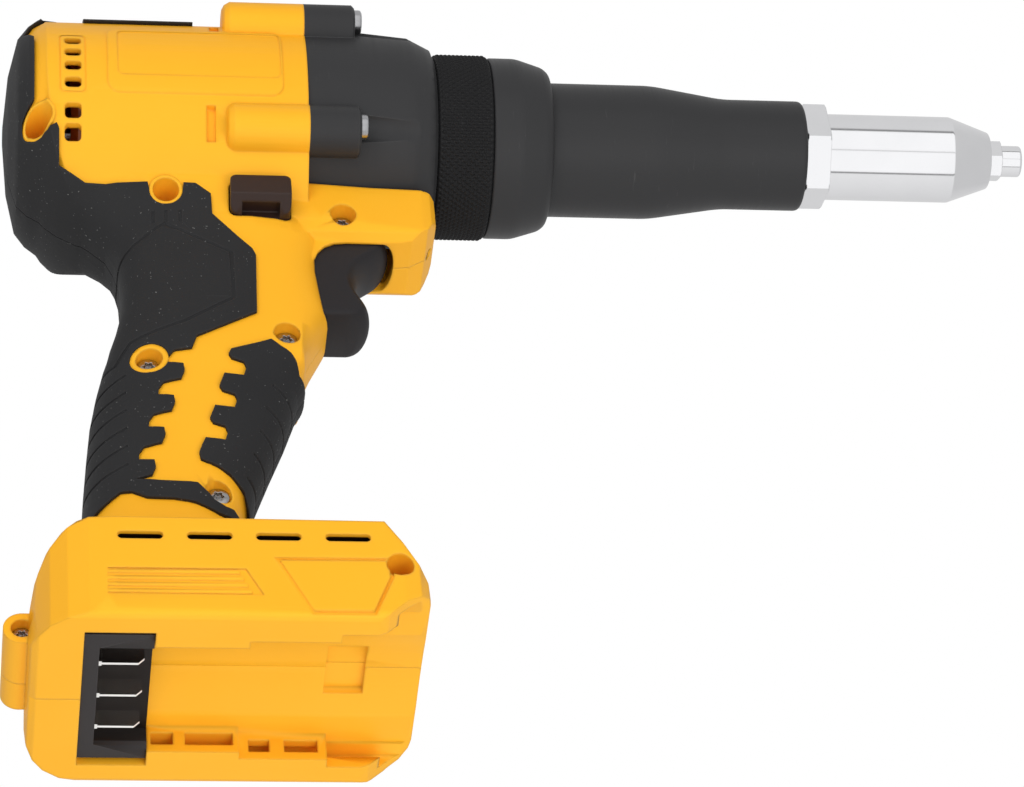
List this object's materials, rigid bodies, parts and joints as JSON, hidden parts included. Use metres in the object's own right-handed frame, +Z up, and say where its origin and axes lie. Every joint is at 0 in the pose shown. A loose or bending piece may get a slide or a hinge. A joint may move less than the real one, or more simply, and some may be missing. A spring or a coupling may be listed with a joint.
{
  "type": "battery rivet tool",
  "caption": "Pistol-shaped battery rivet tool with a two-colour gripped body, a knurled black barrel, a bright steel nose and a slide-on battery foot.",
  "frame": {"origin": "middle of the overall length and width, on the plane of the foot's underside", "axes": "+X towards the nosepiece, +Z up from the foot to the barrel, -Y is the side that the picture shows"},
  "size_m": [0.3022, 0.072, 0.2427],
  "materials": {
    "yellow_plastic": "satin moulded plastic",
    "grip_rubber": "matt soft overmould",
    "black_metal": "black satin, fine scratches",
    "polished_steel": "polished",
    "black_plastic": "matt",
    "bronze": "machined",
    "copper": "enamelled windings",
    "board": "lacquered",
    "lens": "clear",
    "cast_aluminium": "cast",
    "steel": "machined"
  },
  "bodies": {
    "housing": {"housing_right": "yellow_plastic", "housing_left": "yellow_plastic", "rear_grip_right": "grip_rubber", "rear_grip_left": "grip_rubber", "front_grip_right": "grip_rubber", "front_grip_left": "grip_rubber", "top_pad": "grip_rubber", "housing_screws": "steel", "gearbox_case": "black_metal", "gearbox_screws": "steel", "gearbox_plate": "cast_aluminium", "knurled_ring": "black_metal", "front_sleeve": "black_metal", "nose_sleeve": "polished_steel", "nosepiece": "polished_steel", "guide_key": "steel", "drive_bearing": "steel", "thrust_bearing": "steel", "ring_gear": "steel", "stator": "steel", "stator_coils": "copper", "rear_bearing": "steel", "front_bearing": "steel", "trigger_switch": "black_plastic", "trigger_spring": "steel", "control_board": "board", "led_lens": "lens", "terminal_block": "black_plastic", "terminal_blades": "steel"},
    "rotor": {"rotor": "steel", "fan": "black_plastic"},
    "carrier_1": {"carrier_1": "steel"},
    "drive_nut": {"drive_nut": "bronze"},
    "pull_head": {"pull_screw": "steel", "jaw_case": "steel", "jaw_spring": "steel"},
    "jaw_pusher": {"jaw_pusher": "steel"},
    "trigger": {"trigger": "black_plastic"},
    "selector": {"selector": "black_plastic"},
    "planet_1a": {"planet_1a": "steel"},
    "planet_1b": {"planet_1b": "steel"},
    "planet_1c": {"planet_1c": "steel"},
    "planet_2a": {"planet_2a": "steel"},
    "planet_2b": {"planet_2b": "steel"},
    "planet_2c": {"planet_2c": "steel"},
    "jaw_1": {"jaw_1": "steel"},
    "jaw_2": {"jaw_2": "steel"},
    "jaw_3": {"jaw_3": "steel"}
  },
  "joints": [
    {"name": "rotor_spin", "type": "hinge", "parent": "housing", "child": "rotor", "pos_m": [-0.1103, 0, 0.208], "axis": [1, 0, 0], "range_deg": [0, 19200]},
    {"name": "carrier_1_spin", "type": "hinge", "parent": "housing", "child": "carrier_1", "pos_m": [-0.0553, 0, 0.208], "axis": [1, 0, 0], "range_deg": [-10, 4810]},
    {"name": "drive_nut_spin", "type": "hinge", "parent": "housing", "child": "drive_nut", "pos_m": [-0.0353, 0, 0.208], "axis": [1, 0, 0], "range_deg": [-10, 1210]},
    {"name": "pull_slide", "type": "slide", "parent": "housing", "child": "pull_head", "axis": [-1, 0, 0], "range_m": [0, 0.02]},
    {"name": "jaw_release", "type": "slide", "parent": "pull_head", "child": "jaw_pusher", "axis": [-1, 0, 0], "range_m": [0, 0.002], "stiffness_N_per_m": 800, "deforming": ["jaw_spring"]},
    {"name": "trigger_pull", "type": "slide", "parent": "housing", "child": "trigger", "axis": [-1, 0, 0], "range_m": [0, 0.007], "stiffness_N_per_m": 700, "deforming": ["trigger_spring"]},
    {"name": "selector_slide", "type": "slide", "parent": "housing", "child": "selector", "axis": [0, 1, 0], "range_m": [0, 0.008]},
    {"name": "planet_1a_spin", "type": "hinge", "parent": "carrier_1", "child": "planet_1a", "pos_m": [-0.0618, 0.015, 0.208], "axis": [1, 0, 0], "range_deg": [-14410, 10]},
    {"name": "planet_1b_spin", "type": "hinge", "parent": "carrier_1", "child": "planet_1b", "pos_m": [-0.0618, -0.0075, 0.22099], "axis": [1, 0, 0], "range_deg": [-14410, 10]},
    {"name": "planet_1c_spin", "type": "hinge", "parent": "carrier_1", "child": "planet_1c", "pos_m": [-0.0618, -0.0075, 0.19501], "axis": [1, 0, 0], "range_deg": [-14410, 10]},
    {"name": "planet_2a_spin", "type": "hinge", "parent": "drive_nut", "child": "planet_2a", "pos_m": [-0.0493, 0.015, 0.208], "axis": [1, 0, 0], "range_deg": [-3610, 10]},
    {"name": "planet_2b_spin", "type": "hinge", "parent": "drive_nut", "child": "planet_2b", "pos_m": [-0.0493, -0.0075, 0.22099], "axis": [1, 0, 0], "range_deg": [-3610, 10]},
    {"name": "planet_2c_spin", "type": "hinge", "parent": "drive_nut", "child": "planet_2c", "pos_m": [-0.0493, -0.0075, 0.19501], "axis": [1, 0, 0], "range_deg": [-3610, 10]},
    {"name": "jaw_1_slide", "type": "slide", "parent": "pull_head", "child": "jaw_1", "axis": [-0.9898, 0, 0.1421], "range_m": [0, 0.00204]},
    {"name": "jaw_2_slide", "type": "slide", "parent": "pull_head", "child": "jaw_2", "axis": [-0.9898, -0.1231, -0.0711], "range_m": [0, 0.00204]},
    {"name": "jaw_3_slide", "type": "slide", "parent": "pull_head", "child": "jaw_3", "axis": [-0.9898, 0.1231, -0.0711], "range_m": [0, 0.00204]}
  ],
  "couplings": [
    {"joint": "carrier_1_spin", "follows": "rotor_spin", "ratio": 0.25},
    {"joint": "drive_nut_spin", "follows": "rotor_spin", "ratio": 0.0625},
    {"joint": "pull_slide", "follows": "rotor_spin", "m_per_rad": 0.000059683},
    {"joint": "planet_1a_spin", "follows": "rotor_spin", "ratio": -0.75},
    {"joint": "planet_1b_spin", "follows": "rotor_spin", "ratio": -0.75},
    {"joint": "planet_1c_spin", "follows": "rotor_spin", "ratio": -0.75},
    {"joint": "planet_2a_spin", "follows": "rotor_spin", "ratio": -0.1875},
    {"joint": "planet_2b_spin", "follows": "rotor_spin", "ratio": -0.1875},
    {"joint": "planet_2c_spin", "follows": "rotor_spin", "ratio": -0.1875},
    {"joint": "jaw_1_slide", "follows": "jaw_release", "ratio": 1.0103},
    {"joint": "jaw_2_slide", "follows": "jaw_release", "ratio": 1.0103},
    {"joint": "jaw_3_slide", "follows": "jaw_release", "ratio": 1.0103}
  ]
}
